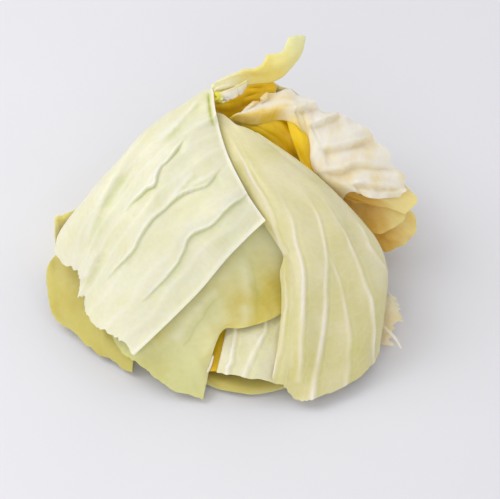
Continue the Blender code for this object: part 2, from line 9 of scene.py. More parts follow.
import bpy
import numpy as np
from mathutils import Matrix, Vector


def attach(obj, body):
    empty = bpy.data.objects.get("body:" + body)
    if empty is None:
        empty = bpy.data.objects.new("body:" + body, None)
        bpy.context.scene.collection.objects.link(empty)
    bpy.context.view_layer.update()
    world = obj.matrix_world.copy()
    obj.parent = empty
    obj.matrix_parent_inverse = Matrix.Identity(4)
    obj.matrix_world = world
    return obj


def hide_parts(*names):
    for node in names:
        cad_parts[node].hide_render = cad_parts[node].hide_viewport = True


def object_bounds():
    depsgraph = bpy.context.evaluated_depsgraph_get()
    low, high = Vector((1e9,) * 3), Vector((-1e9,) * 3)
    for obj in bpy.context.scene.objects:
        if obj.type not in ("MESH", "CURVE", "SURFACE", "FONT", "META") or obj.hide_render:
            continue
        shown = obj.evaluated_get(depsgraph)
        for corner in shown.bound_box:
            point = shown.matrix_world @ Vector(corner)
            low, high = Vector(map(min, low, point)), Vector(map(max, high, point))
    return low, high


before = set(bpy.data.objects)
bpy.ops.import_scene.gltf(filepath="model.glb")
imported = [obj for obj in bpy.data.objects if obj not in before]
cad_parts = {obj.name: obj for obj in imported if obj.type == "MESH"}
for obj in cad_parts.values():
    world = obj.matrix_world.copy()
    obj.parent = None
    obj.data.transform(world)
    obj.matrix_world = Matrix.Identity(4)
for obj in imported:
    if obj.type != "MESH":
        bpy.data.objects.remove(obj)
CAD_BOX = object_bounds()

MM = 0.001

# The front view that the visible leaves are laid out in, which is also the camera's
VIEW_ELEVATION = math.radians(49)
VIEW_DISTANCE = 600
VIEW_TARGET = (6, -5, 22)
VIEW_WIDTH = 143.75
TOWARDS_VIEW = np.array((0, -math.cos(VIEW_ELEVATION), math.sin(VIEW_ELEVATION)))
SENSOR_WIDTH = 36

# Thickness of the blades
BLADE = 0.9
THICK_BLADE = 1.2
LIP_BLADE = 0.8 * BLADE
SHRED_BLADE = 0.6

# A blade's margin: the share of the thickness that is left on its very edge, how much of the rest
# each of the outermost rings of the grid has gained, and the angle past which an edge looks sharp
MARGIN_SHARE = 0.3
MARGIN_RINGS = (0, 0.5, 0.8, 0.95)
CREASE_ANGLE = math.radians(50)

# How far the base leaf is let down through the ground, which gives it a flat spot, and how far inside
# the sides of the CAD box every blade stays
BASE_SPOT_CUT = 0.9
INSIDE_BOX = 0.02

# Height of the ribs
MIDDLE_RIB = 1.2
FAINT_RIB = 0.6

# The two cupped inner leaves
INNER_RADII = (33, 30)
INNER_TOP = 29
INNER_FOOT = 9

# Skin of a leaf: the sizes of its patterns, and how strongly each shows
DRIFT_SIZE = 14
DRIFT_RANGE = (0.35, 0.65)
DRIFT_SHARES = (-0.25, 0.45)
FLECK_SIZE = 1.6
FLECK_RANGE = (0.3, 0.7)
FLECK_BRIGHTNESS = (0.98, 1.02)
NET_SIZE = 3.4
NET_THREAD = 0.12
NET_PALENESS = 0.06
SKIN_ROUGHNESS = (0.28, 0.44)
SKIN_BUMP = 0.15
LEAF_IOR = 1.42

# Light inside a leaf: how much of it goes in, how far, and how far for red, green and blue
GLOW_SHARE = 0.5
GLOW_DEPTH = 2
GLOW_REACH = (1.0, 0.85, 0.3)

# The floor and the light
FLOOR_WIDTH = 3000
FLOOR_CLOUD_SIZE = 60
SKY_STRENGTH = 0.72
SOFTBOX_SIZE = 500
SOFTBOX_AIM = (0, 0, 20)

# Working values: cells before the noise repeats, points that a row is measured at and that a drawn
# line is read at, and the colour sockets of a mix node
NOISE_CELLS = 64
ROW_POINTS = 240
LINE_POINTS = 160
MIX_BELOW, MIX_ABOVE, MIX_RESULT = 6, 7, 2

# Folds and veins of the leaves, as (across, up) in the front view
LEFT_FOLDS = (
    ((0.5, 18), (-1.3, 16), (-7, 11.3), (-11.2, 7), (-16.7, 4.3), (-19.3, -1), (-21.9, -5.8), (-32, -16)),
    ((-8, 24.3), (-12.7, 18.8), (-20.1, 15.7), (-28.2, 8.3), (-31.7, 3.4), (-34.3, -1), (-43.1, -10.2)),
    ((-18.7, 31.5), (-22.4, 27.2), (-26.4, 22.3), (-27.3, 19.1), (-30.3, 17), (-32.8, 14.5), (-36.8, 9.9)),
)
LEFT_BRANCHES = (
    ((-9.3, 22.3), (-12.9, 20), (-15.8, 18.3), (-19, 16.8)),
    ((-15.5, 22.3), (-17.8, 19.4), (-20.7, 16.2), (-23, 13.5)),
    ((-14.4, 43), (-18, 38.5), (-22, 34), (-26, 30)),
)
LEFT_SOFT_FOLDS = (
    ((-35.9, 22.9), (-40.5, 16.2), (-43.5, 9.1), (-45.7, 3.4), (-47.9, -0.1)),
    ((-43.1, -0.1), (-44.4, -3.2), (-46.6, -8.1), (-48.9, -9.6)),
)
RIGHT_VEINS = (
    ((-6.9, 35.2), (-3.4, 27.7), (-0.2, 22.2), (3.5, 15.3), (6.2, 8.9), (8.1, 2.9), (9.8, -1)),
    ((9.8, -2.4), (9.7, -8), (10.3, -12.6), (9.9, -20), (8.5, -28.7), (5.8, -38.3)),
    ((3.5, 24.3), (8, 17.1), (10.8, 11.2), (12.2, 7.5), (13.6, 1.1), (15, -3.5), (15.2, -10.3), (14, -38)),
    ((11.5, 23), (17.7, 13), (19.8, 8.9), (21.2, 2.9), (21.9, -2.6), (21.4, -10.8), (21.3, -19), (18, -43)),
    ((21.2, 2), (23.7, -3.5), (26, -9.4), (27.3, -15.4), (28, -21.8), (28.3, -28.7), (27, -42)),
    ((19.6, 17.1), (25, 8.4), (28.7, 2), (31, -3), (33.3, -9.9), (35.1, -15.9), (36, -33)),
    ((26.5, 12.8), (31.5, 6.6), (34.2, 1.1), (38.4, -5.3), (40.3, -9.3)),
)
FLAP_VEINS = (
    ((-3.9, -15), (-4, -23.1), (-4.9, -28.9), (-6.6, -35.8)),
    ((3.5, -11.6), (4.3, -22.3), (1.7, -28.9), (-1.7, -35.9)),
)
UNDER_VEINS = (
    ((-2.5, -1), (-1, -8), (-0.8, -14), (-1.6, -22)),
    ((-8, -10), (-12.7, -14.4), (-17, -19.5), (-21.5, -25.4)),
    ((-20, -8), (-26, -15), (-32, -23)),
)
CREAM_FOLDS = (
    ((12.5, 39.7), (15.5, 40.7), (20, 41)),
    ((17.4, 35.4), (21.5, 37), (27, 39.3)),
    ((20.7, 28.9), (25.9, 29.5), (31.1, 30.9), (36, 32.6)),
    ((20.7, 22), (26.2, 22.6), (31.1, 24.6), (37.7, 24), (42.6, 23.4)),
    ((29.5, 18.3), (33, 18.7), (38.8, 18), (44.6, 17.7)),
)


# Laying a leaf out


def seen(*points):
    """Places (across, up, height): mm from the middle of the front view, and mm above the ground."""
    across, up, height = np.array(points, float).T
    sine, cosine = math.sin(VIEW_ELEVATION), math.cos(VIEW_ELEVATION)
    target_x, target_y, target_z = VIEW_TARGET
    z = height - target_z
    y = (up * (1 - z * sine / VIEW_DISTANCE) - z * cosine) / (sine - up * cosine / VIEW_DISTANCE)
    nearer = z * sine - y * cosine
    x = across * (1 - nearer / VIEW_DISTANCE)
    return np.column_stack([x + target_x, y + target_y, height])


def placed(*points):
    """Places given as they stand: x, y and z in mm."""
    return np.array(points, float)


def pictured(points):
    """The reverse of seen: how far across and up from its middle the front view shows places in space."""
    sine, cosine = math.sin(VIEW_ELEVATION), math.cos(VIEW_ELEVATION)
    x, y, z = np.moveaxis(points - np.array(VIEW_TARGET), -1, 0)
    scale = VIEW_DISTANCE / (VIEW_DISTANCE - (z * sine - y * cosine))
    return x * scale, (y * sine + z * cosine) * scale


def domed(centre, first, last, count=6):
    """Rib lines of a cupped inner leaf: arcs from its top to its foot, between two bearings in degrees."""
    radius_x, radius_y = INNER_RADII
    sweep = np.radians(np.linspace(15, 97, 8))
    rows = []
    for bearing in np.radians(np.linspace(first, last, count)):
        x = centre[0] + radius_x * math.cos(bearing) * np.sin(sweep)
        y = centre[1] + radius_y * math.sin(bearing) * np.sin(sweep)
        rows.append(np.column_stack([x, y, INNER_FOOT + (INNER_TOP - INNER_FOOT) * np.cos(sweep)]))
    return rows


def smooth(a, b, c, d, t):
    """The smooth curve from b to c at the shares t of the way, led by a before them and d after them."""
    return b + 0.5 * t * (c - a + t * (2 * a - 5 * b + 4 * c - d + t * (3 * (b - c) + d - a)))


def led(points):
    """The points with one more beyond each end, to lead the curve in and out."""
    before, after = 2 * points[0] - points[1], 2 * points[-1] - points[-2]
    return np.concatenate([[before], points, [after]])


def stepped(places, count):
    """Places from 0 to 1 over count points, as the point before each and the share of the way on."""
    run = np.clip(places, 0, 1) * (count - 1)
    first = np.minimum(run.astype(int), count - 2)
    return first, (run - first)[..., None]


def spline(points, places):
    """The smooth curve through evenly counted points, read at places from 0 to 1."""
    first, t = stepped(places, len(points))
    all_points = led(np.asarray(points, float))
    return smooth(*(all_points[first + step] for step in range(4)), t)


def evened(row, count=17):
    """The same curve with its points spread evenly along its length."""
    fine = spline(row, np.linspace(0, 1, ROW_POINTS))
    length = np.insert(np.cumsum(np.linalg.norm(np.diff(fine, axis=0), axis=1)), 0, 0)
    wanted = np.linspace(0, length[-1], count)
    return np.column_stack([np.interp(wanted, length, part) for part in fine.T])


def sheet(rows, u, v):
    """Points of the smooth sheet whose ribs are the rows. u runs from rib to rib and v along them."""
    first, t = stepped(u, len(rows))
    ribs = led(np.array([spline(evened(row), v) for row in rows]))
    near = (np.take_along_axis(ribs, (first + step)[None, ..., None], axis=0)[0] for step in range(4))
    return smooth(*near, t)


def outward(points, facing):
    """Unit normals of a sheet, turned to the side that faces the given way."""
    normal = np.cross(np.gradient(points, axis=0), np.gradient(points, axis=1))
    normal /= np.maximum(np.linalg.norm(normal, axis=2, keepdims=True), 1e-9)
    return normal * (1 if (normal @ np.array(facing, float)).mean() > 0 else -1)


# Relief of a leaf


def noise(a, b, seed):
    """Smooth random values from -1 to 1 that change over about one unit of a and b."""
    grid = np.random.default_rng(seed).uniform(-1, 1, (NOISE_CELLS, NOISE_CELLS))
    i, j = np.floor(a).astype(int), np.floor(b).astype(int)
    s, t = a - i, b - j
    s, t = s * s * (3 - 2 * s), t * t * (3 - 2 * t)
    i, j = i % NOISE_CELLS, j % NOISE_CELLS
    next_i, next_j = (i + 1) % NOISE_CELLS, (j + 1) % NOISE_CELLS
    low = grid[i, j] * (1 - s) + grid[next_i, j] * s
    high = grid[i, next_j] * (1 - s) + grid[next_i, next_j] * s
    return low * (1 - t) + high * t


def wander(place, turns, seed):
    """Smooth random values from -1 to 1 along a line, which turn about so many times over it."""
    return noise(place * turns, 0 * place, seed)


def bell(distance, width):
    """1 at no distance, and about a third of that at the width."""
    return np.exp(-((distance / width) ** 2))


# A relief gives three values for every point of a sheet: how far it is raised in mm, and how much of
# the colour of the raised veins, with its painted highlights, and of the painted shade of the creases
# it takes, from 0 to 1.


def ribbed(height, count, sharp=1, waver=0.08, seed=1, paleness=0.6):
    """Ribs along the rows. sharp above 1 makes them narrower than the hollows between them."""

    def relief(points, u, v):
        phases = np.random.default_rng(seed).uniform(0, 2 * math.pi, 2)
        bend = waver * (np.sin(9 * v + 5 * u + phases[0]) + 0.6 * np.sin(21 * v + 8 * u + phases[1]))
        wave = (0.5 + 0.5 * np.cos(2 * math.pi * (u * count + bend))) ** sharp
        return height * wave, paleness * wave**6, 0 * u

    return relief


def puckered(height, across, along, seed=1):
    """Low blisters of the blade, a few to each side."""

    def relief(points, u, v):
        phases = np.random.default_rng(seed).uniform(0, 2 * math.pi, 4)
        first = np.sin(across * u + 2 * v + phases[0]) * np.sin(along * v + phases[1])
        second = np.sin(1.7 * along * v - across * u + phases[2]) * np.sin(1.4 * across * u + phases[3])
        return height * (first + 0.5 * second), 0 * u, 0 * u

    return relief


def blistered(height, size, seed=1):
    """Fine uneven swelling of the blade between its veins: blisters of about the given size in mm."""

    def relief(points, u, v):
        x, y, z = np.moveaxis(points / size, -1, 0)
        swell = noise(x + 0.7 * z, y - 0.7 * z, seed) + 0.5 * noise(2.1 * x + z, 2.1 * y - z, seed + 1)
        return height * swell, 0 * u, 0 * u

    return relief


def spread(points):
    """How far along the sheet each point lies, in mm: over the ribs, and along them."""
    across = np.cumsum(np.linalg.norm(np.diff(points, axis=0, prepend=points[:1]), axis=2), axis=0)
    along = np.cumsum(np.linalg.norm(np.diff(points, axis=1, prepend=points[:, :1]), axis=2), axis=1)
    return across, along


def netted(height, size, seed=1, thread_width=0.45):
    """The net of small veins between the side veins: a raised mesh with cells of about size mm."""

    def relief(points, u, v):
        a, b = (part / size for part in spread(points))
        spots = np.random.default_rng(seed).uniform(0.1, 0.9, (NOISE_CELLS, NOISE_CELLS, 2))
        i, j = np.floor(a).astype(int), np.floor(b).astype(int)
        near, next_near = np.full(a.shape, 9.0), np.full(a.shape, 9.0)
        for step_i in (-1, 0, 1):
            for step_j in (-1, 0, 1):
                spot = spots[(i + step_i) % NOISE_CELLS, (j + step_j) % NOISE_CELLS]
                gap = np.hypot(i + step_i + spot[..., 0] - a, j + step_j + spot[..., 1] - b)
                next_near = np.minimum(next_near, np.maximum(near, gap))
                near = np.minimum(near, gap)
        thread = bell((next_near - near) * size, thread_width)
        return height * thread, 0.15 * thread, 0 * u

    return relief


def frilled(height, waves, seed=1):
    """A margin that waves more and more towards the far end of the ribs."""

    def relief(points, u, v):
        phase = np.random.default_rng(seed).uniform(0, 2 * math.pi)
        return height * v**3 * np.sin(2 * math.pi * waves * u + phase), 0 * u, 0 * u

    return relief


def beside(points, line):
    """How far each point is to the lower right of a line drawn in the front view, along it and past it.

    The first is measured on the leaf, so a line keeps its width where the leaf turns away from the view.
    The second goes from 0 to 1, and the third is 0 except beyond the line's ends.
    """
    across, up = pictured(points)
    path = evened(line, LINE_POINTS)
    way = np.gradient(path, axis=0)
    way /= np.linalg.norm(way, axis=1, keepdims=True)
    right = np.column_stack([-way[:, 1], way[:, 0]])
    right *= np.sign(right @ (1, -1))[:, None]
    nearest = np.zeros(across.shape, int)
    best = np.full(across.shape, 1e9)
    for step, (x, y) in enumerate(path):
        gap = (across - x) ** 2 + (up - y) ** 2
        nearest[gap < best] = step
        best = np.minimum(best, gap)
    gap = np.stack([across, up], axis=-1) - path[nearest]
    facing = np.clip(np.abs(outward(points, TOWARDS_VIEW) @ TOWARDS_VIEW), 0.15, 1)
    side = (gap * right[nearest]).sum(axis=-1) / facing
    past = np.abs((gap * way[nearest]).sum(axis=-1))
    return side, nearest / (LINE_POINTS - 1), past


def veined(lines, crest, narrow, wide, rise=0.25, seed=1, pale=1):
    """Raised veins along lines drawn in the front view. Each fades in over its first part, then widens.

    crest is the height and narrow and wide are the widths at the two ends, in mm. rise is the share of
    the line that the vein fades in over. pale is how much of its own colour it takes.
    """

    def relief(points, u, v):
        height, rib, fold = 0 * u, 0 * u, 0 * u
        for index, line in enumerate(lines):
            side, place, past = beside(points, line)
            width = narrow + (wide - narrow) * place
            side = side + 0.3 * wander(place, 11, seed + index + 30)
            patchy = 0.65 + 0.35 * wander(place, 9, seed + index)
            grown = np.clip(place / rise, 0, 1) * bell(past, 0.8)
            shape = bell(side, width) * patchy * grown
            height = np.maximum(height, crest * (0.6 + 0.4 * place) * shape)
            rib = np.maximum(rib, pale * shape)
            # On its lower right, away from the light, a vein has painted shade: a thin line of crease shade
            # and a broad tint
            thin_line = bell(side - 1.7 * width, 0.6)
            tint = 0.55 * bell(side - 2.6, 2)
            fold = np.maximum(fold, 0.5 * pale * grown * np.maximum(thin_line, tint))
        return height, rib, fold

    return relief


def folded(lines, depth, width, reach, lip):
    """Folds along lines drawn in the front view: a raised lip, a crisp drop, then a slow rise below it.

    depth is that of the drop and width how far it takes, reach is how far the rise takes, and lip is
    how high the lip stands, all in mm.
    """

    def relief(points, u, v):
        height, rib, fold = 0 * u, 0 * u, 0 * u
        for index, line in enumerate(lines):
            side, place, past = beside(points, line)
            side = side + 0.25 * wander(place, 14, index + 5)
            # A fold is fainter near its start, dies away towards its end, and is a little uneven
            fade = np.clip(place * 9, 0.15, 1) * np.clip(5 - place * 5, 0, 1) * bell(past, 1.5)
            fade = fade * (0.8 + 0.2 * wander(place, 7, index + 20))
            drop = 1 / (1 + np.exp(-side / width * 4))
            fall = drop * np.exp(-np.maximum(side, 0) / reach)
            crest = bell(side + 0.25 + width, 0.4 + 0.5 * width) * fade
            swell = bell(side + 3, 3.5) * fade
            height = height - depth * fade * fall + lip * crest + lip * swell
            # The crest takes the vein colour: the pale of the rib and a painted highlight where the lip
            # meets the light
            rib = np.maximum(rib, crest / (1 + width))
            # The foot of the drop, shaded by the fold, takes painted crease shade, and the blade below it a
            # tint of that
            patchy = 0.75 + 0.25 * wander(place, 6, index + 40)
            foot = bell(side - width, 0.35 + width) / (1 + width)
            tint = 0.36 * drop * np.exp(-np.maximum(side, 0) / 4)
            fold = np.maximum(fold, fade * patchy * np.maximum(foot, tint))
        return height, rib, fold

    return relief


def inland(points, edge):
    """How far each point is from an edge, in mm: from the first rib, or from the end of the ribs."""
    across, along = spread(points)
    return {"first": across, "end": along[:, -1:] - along}[edge]


def rimmed(height, width, edge):
    """A margin that is turned up a little and pale: the pale of the cut edge with a painted highlight on it.
    """

    def relief(points, u, v):
        lip = bell(inland(points, edge), width)
        return height * lip, 0.8 * lip, 0 * u

    return relief


def grooved(place, width, depth=0.6):
    """A narrow groove of painted crease shade, some mm in from the ends, where the margin curls."""

    def relief(points, u, v):
        line = bell(inland(points, "end") - place, width)
        return -depth * line, 0 * u, line

    return relief


def bent(drop, reach):
    """Ends that bend down towards the leaf beneath, over their last few mm."""

    def relief(points, u, v):
        return -drop * np.clip(1 - inland(points, "end") / reach, 0, 1) ** 2, 0 * u, 0 * u

    return relief


def limited(relief, first, last, steepness=40):
    """The same relief on the part of the sheet whose u lies from first to last, with soft ends."""

    def within(points, u, v):
        begun = np.clip((u - first) * steepness + 0.5, 0, 1)
        share = begun * np.clip((last - u) * steepness + 0.5, 0, 1)
        return [part * share for part in relief(points, u, v)]

    return within


def toned(axis, start, end):
    """A change of colour over the leaf: from its blade colour at start to its deep colour at end."""

    def tone(u, v):
        return np.clip(({"u": u, "v": v}[axis] - start) / (end - start), 0, 1)

    return tone


def crease_shade_towards(start, end):
    """The colour of the painted crease shade, let into the blade itself towards one end of the ribs."""

    def relief(points, u, v):
        return 0 * u, 0 * u, np.clip((v - start) / (end - start), 0, 1)

    return relief


def most(*tones):
    """The strongest of several changes of colour."""
    return lambda u, v: np.maximum.reduce([tone(u, v) for tone in tones])


def least(*tones):
    """The weakest of several changes of colour."""
    return lambda u, v: np.minimum.reduce([tone(u, v) for tone in tones])


def faint(share, tone):
    """A share of a change of colour."""
    return lambda u, v: share * tone(u, v)


def growing(relief, reach=0.5):
    """The same relief, but flat where the ribs start and at its full height from reach on."""

    def grown(points, u, v):
        share = np.clip(v / reach, 0, 1) ** 1.5
        return [part * share for part in relief(points, u, v)]

    return grown


# Edges of a leaf


def ragged(depth, teeth, seed=1, fine=0.25):
    """A torn edge: how far it is bitten in at each place along it, as a share of the leaf."""

    def bite(places):
        bites = np.random.default_rng(seed).uniform(0, depth, teeth + 1)
        coarse = np.interp(places, np.linspace(0, 1, teeth + 1), bites)
        return coarse + fine * depth * np.abs(wander(places * teeth, 3.3, seed))

    return bite


def straight(places):
    """An edge with no bites."""
    return 0 * places


def grid_places(cells, edges):
    """u and v of the grid's corners, bitten in at the start and end and by the first and last rib."""
    start, end, first, last = edges
    s, t = np.meshgrid(np.linspace(0, 1, cells[0] + 1), np.linspace(0, 1, cells[1] + 1), indexing="ij")
    u = first(t) + (1 - first(t) - last(t)) * s
    v = start(s) + (1 - start(s) - end(s)) * t
    return u, v


# Finishes


def srgb(code):
    """Linear colour of an sRGB hex code."""
    parts = [int(code[i : i + 2], 16) / 255 for i in (1, 3, 5)]
    return [p / 12.92 if p <= 0.04045 else ((p + 0.055) / 1.055) ** 2.4 for p in parts] + [1]


def add_node(tree, kind, inputs=None, **settings):
    """A node with its settings, and its inputs given as values or as sockets to link from."""
    node = tree.nodes.new(kind)
    for name, value in settings.items():
        setattr(node, name, value)
    for name, value in (inputs or {}).items():
        if isinstance(value, bpy.types.NodeSocket):
            tree.links.new(value, node.inputs[name])
        else:
            node.inputs[name].default_value = value
    return node


def ranged(value, source, target):
    """The inputs that map a value from one range to another."""
    (low, high), (to_low, to_high) = source, target
    return {"Value": value, "From Min": low, "From Max": high, "To Min": to_low, "To Max": to_high}


def empty_material(name):
    """A material with no nodes in it yet."""
    material = bpy.data.materials.new(name)
    material.use_nodes = True
    material.node_tree.nodes.clear()
    return material


def leaf_colour(tree, place, thread, blade, deep, rib, crease_shade):
    """A blade's colour, with painted crease shade over it, and veins and painted highlights over both."""
    tone, fold, vein = (
        add_node(tree, "ShaderNodeAttribute", attribute_name=mark).outputs["Fac"]
        for mark in ("tone", "crease_shade", "vein")
    )
    drift = add_node(
        tree, "ShaderNodeTexNoise", {"Vector": place, "Scale": 1 / (DRIFT_SIZE * MM), "Detail": 3}
    )
    drifted = add_node(
        tree, "ShaderNodeMapRange", ranged(drift.outputs["Fac"], DRIFT_RANGE, DRIFT_SHARES)
    )
    deepened = add_node(
        tree, "ShaderNodeMath", {0: drifted.outputs["Result"], 1: tone}, operation="ADD", use_clamp=True
    )
    veins = add_node(tree, "ShaderNodeMath", {0: thread, 1: vein}, operation="MAXIMUM", use_clamp=True)
    colour = srgb(blade)
    # Laid over the blade: deep colour and painted shade, painted crease shade, veins and painted highlights
    for share, code in ((deepened.outputs[0], deep), (fold, crease_shade), (veins.outputs[0], rib)):
        mixed = add_node(
            tree, "ShaderNodeMix", {"Factor": share, MIX_BELOW: colour, MIX_ABOVE: srgb(code)},
            data_type="RGBA",
        )
        colour = mixed.outputs[MIX_RESULT]
    return colour


def leaf_finish(name, slot, blade, deep, rib, crease_shade):
    """A living leaf: a thin waxy skin over wet flesh that light goes a little way into.

    The wax gives a soft gleam, and the light inside it makes thin places glow. blade and deep are the
    two colours that the blade drifts between, and deep is also the painted shade that some leaves take
    on their shaded parts. rib is the colour of the raised veins and of the painted highlights on fold
    crests and cut margins. The last colour is the painted shade in the folds and beside the veins, in
    the lime tint of light that has come through several layers of green. slot is given back with the
    material, but nothing uses it.
    """
    material = empty_material(name)
    tree = material.node_tree
    place = add_node(tree, "ShaderNodeAttribute", attribute_name="lie").outputs["Vector"]
    fleck = add_node(
        tree, "ShaderNodeTexNoise", {"Vector": place, "Scale": 1 / (FLECK_SIZE * MM), "Detail": 4}
    ).outputs["Fac"]
    net = add_node(
        tree, "ShaderNodeTexVoronoi", {"Vector": place, "Scale": 1 / (NET_SIZE * MM)},
        feature="DISTANCE_TO_EDGE",
    )
    thread, brightness, roughness = (
        add_node(tree, "ShaderNodeMapRange", ranged(value, source, target)).outputs["Result"]
        for value, source, target in (
            (net.outputs["Distance"], (0, NET_THREAD), (NET_PALENESS, 0)),
            (fleck, FLECK_RANGE, FLECK_BRIGHTNESS),
            (fleck, FLECK_RANGE, SKIN_ROUGHNESS),
        )
    )
    colour = leaf_colour(tree, place, thread, blade, deep, rib, crease_shade)
    colour = add_node(tree, "ShaderNodeHueSaturation", {"Color": colour, "Value": brightness})
    rise = add_node(tree, "ShaderNodeMath", {0: thread, 1: fleck}, operation="ADD")
    bump = add_node(
        tree, "ShaderNodeBump", {"Height": rise.outputs[0], "Strength": 0.12, "Distance": SKIN_BUMP * MM}
    )
    surface = add_node(
        tree, "ShaderNodeBsdfPrincipled",
        {
            "Base Color": colour.outputs[0],
            "Roughness": roughness,
            "Normal": bump.outputs["Normal"],
            "IOR": LEAF_IOR,
            "Subsurface Weight": GLOW_SHARE,
            "Subsurface Radius": GLOW_REACH,
            "Subsurface Scale": GLOW_DEPTH * MM,
        },
    )
    add_node(tree, "ShaderNodeOutputMaterial", {"Surface": surface.outputs[0]})
    return material, slot


# The outer leaves are cream with a green cast, and leaves turn yellower the nearer to the heart they
# grew. The colours are those of the blade, the deep blade, which some leaves also take as painted
# shade, the raised veins and painted highlights, and the painted shade of the creases.
CREAM_GREEN = leaf_finish(
    "cream_green_leaf", "cream_green_blade", "#E8E4C9", "#DEDAA8", "#F6F3E8", "#BFC95A"
)
PALE_GREEN = leaf_finish(
    "pale_green_leaf", "pale_green_blade", "#E7DEB6", "#D6CD8A", "#F3E8DA", "#CBC97E"
)
FLAP = leaf_finish(
    "pale_flap_leaf", "pale_green_blade", "#EBE5C4", "#DDD59C", "#F8F2E6", "#CFCB8A"
)
LEAF_GREEN = leaf_finish(
    "green_under_leaf", "leaf_green_blade", "#E7E2AB", "#D6C254", "#EDE8C4", "#B4B860"
)
UNDER_LAYER = leaf_finish(
    "lower_layer_leaf", "leaf_green_blade", "#CEC26C", "#BFAE4E", "#DCD298", "#B0A448"
)
CREAM = leaf_finish(
    "cream_heart_leaf", "cream_blade", "#FCF1E2", "#ECC63C", "#FBF3E6", "#DDC878"
)
TIP = leaf_finish(
    "tip_leaf", "butter_blade", "#F1E9BC", "#EEDB7C", "#F4EAC8", "#E4E2AE"
)
BUTTER = leaf_finish(
    "butter_leaf", "butter_blade", "#F3E4BC", "#EFD78A", "#F6ECD0", "#D6C460"
)
SKIRT = leaf_finish(
    "yellow_green_leaf", "yellow_blade", "#EBDF98", "#DCCB6C", "#F2EAB8", "#B8AC4C"
)
YELLOW = leaf_finish(
    "yellow_heart_leaf", "yellow_blade", "#F3DE98", "#DDB044", "#F8ECC0", "#C0A030"
)
TORN = leaf_finish(
    "torn_margin_leaf", "butter_blade", "#FBF1E0", "#F6E4C4", "#FBF6EE", "#DCD62A"
)
DEEP_YELLOW = leaf_finish(
    "deep_yellow_heart_leaf", "deep_yellow_blade", "#F8CC12", "#E6B01A", "#F6E070", "#B88A00"
)

# Two of them are used on further leaves too
BASE = (UNDER_LAYER[0], "butter_blade")
LIP = (TORN[0], "cream_blade")


# Making a leaf


def laid_grid(name, points, facing):
    """A grid laid on the points, its front turned the way the leaf faces.

    Also gives the column and the step along it that each corner of the grid stands for.
    """
    across, along = points.shape[0] - 1, points.shape[1] - 1
    bpy.ops.object.select_all(action="DESELECT")
    bpy.ops.mesh.primitive_grid_add(x_subdivisions=across, y_subdivisions=along, size=1)
    blade = bpy.context.object
    blade.name = name
    mesh = blade.data
    flat = np.empty(len(mesh.vertices) * 3)
    mesh.vertices.foreach_get("co", flat)
    flat = flat.reshape(-1, 3)
    column = np.rint((flat[:, 0] + 0.5) * across).astype(int)
    step = np.rint((flat[:, 1] + 0.5) * along).astype(int)
    mesh.vertices.foreach_set("co", (points[column, step] * MM).ravel())
    mesh.update()
    way = sum((face.normal.dot(facing) * face.area for face in mesh.polygons), 0.0)
    if way < 0:
        mesh.flip_normals()
    return blade, column, step


def thicken(blade, ring, thickness):
    """Gives the blade its wall, inwards and thinner towards the margin, which is ring 0 of the grid."""
    body = blade.vertex_groups.new(name="body")
    for number, share in enumerate(MARGIN_RINGS):
        body.add(np.flatnonzero(ring == number).tolist(), share, "REPLACE")
    body.add(np.flatnonzero(ring >= len(MARGIN_RINGS)).tolist(), 1, "REPLACE")
    wall = blade.modifiers.new("wall", "SOLIDIFY")
    wall.thickness = thickness * MM
    wall.offset = -1
    wall.vertex_group = "body"
    wall.thickness_vertex_group = MARGIN_SHARE
    bpy.ops.object.modifier_apply(modifier="wall")
    blade.vertex_groups.clear()
    bpy.ops.object.shade_smooth_by_angle(angle=CREASE_ANGLE)


def keep_in_box(mesh):
    """Brings the few points that relief has pushed past the CAD box back inside it."""
    flat = np.empty(len(mesh.vertices) * 3)
    mesh.vertices.foreach_get("co", flat)
    low, high = (np.array(corner) for corner in CAD_BOX)
    margin = np.array((INSIDE_BOX, INSIDE_BOX, 0)) * MM
    mesh.vertices.foreach_set("co", np.clip(flat.reshape(-1, 3), low + margin, high - margin).ravel())
    mesh.update()


def add_blade(name, node, points, facing, finish, marks, thickness):
    """A blade on the points, which stands for a node of the frame.

    Its mesh keeps the marks, and where on the flat leaf each corner lies, for the finish to read.
    """
    material, slot = finish
    blade, column, step = laid_grid(name, points, facing)
    mesh = blade.data
    for mark, values in marks.items():
        mesh.attributes.new(mark, "FLOAT", "POINT").data.foreach_set("value", values[column, step])
    a, b = spread(points)
    lie = np.stack([a, b, 0 * a], axis=-1)[column, step] * MM
    mesh.attributes.new("lie", "FLOAT_VECTOR", "POINT").data.foreach_set("vector", lie.ravel())
    ring = np.minimum.reduce([column, column.max() - column, step, step.max() - step])
    thicken(blade, ring, thickness)
    keep_in_box(mesh)
    mesh.materials.append(material)
    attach(blade, "root")
    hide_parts(node)


def leaf(
    name, rows, facing, finish, cells, *reliefs,
    start=straight, end=straight, first=straight, last=straight,
    tone=None, thickness=BLADE, sunk=0, part=None,
):
    """One leaf from its rib lines. facing is the way its ribbed outer side looks.

    cells counts those of its grid, over the ribs and along them. start and end are the edges at the
    two ends of the ribs, and first and last those along the two outermost ribs. sunk is how far the
    leaf is let down through the ground, which cuts it flat there. part names a second sheet of the
    same leaf.
    """
    u, v = grid_places(cells, (start, end, first, last))
    points = sheet(rows, u, v)
    height, vein, crease_shade = 0 * u, 0 * u, 0 * u
    for relief in reliefs:
        rise, rib, fold = relief(points, u, v)
        height = height + rise
        vein = np.maximum(vein, rib)
        crease_shade = np.maximum(crease_shade, fold)
    points = points + outward(points, facing) * height[:, :, None] - (0, 0, sunk)
    if sunk:
        points[:, :, 2] = np.maximum(points[:, :, 2], 0)
    # Marks: veins with painted highlights, painted crease shade, and a tone that is painted shade on several
    # leaves
    marks = {"vein": vein, "crease_shade": np.clip(crease_shade, 0, 1), "tone": tone(u, v) if tone else 0 * u}
    add_blade(part or name + "_blade", name, points, facing, finish, marks, thickness)


# The outer leaves, in front


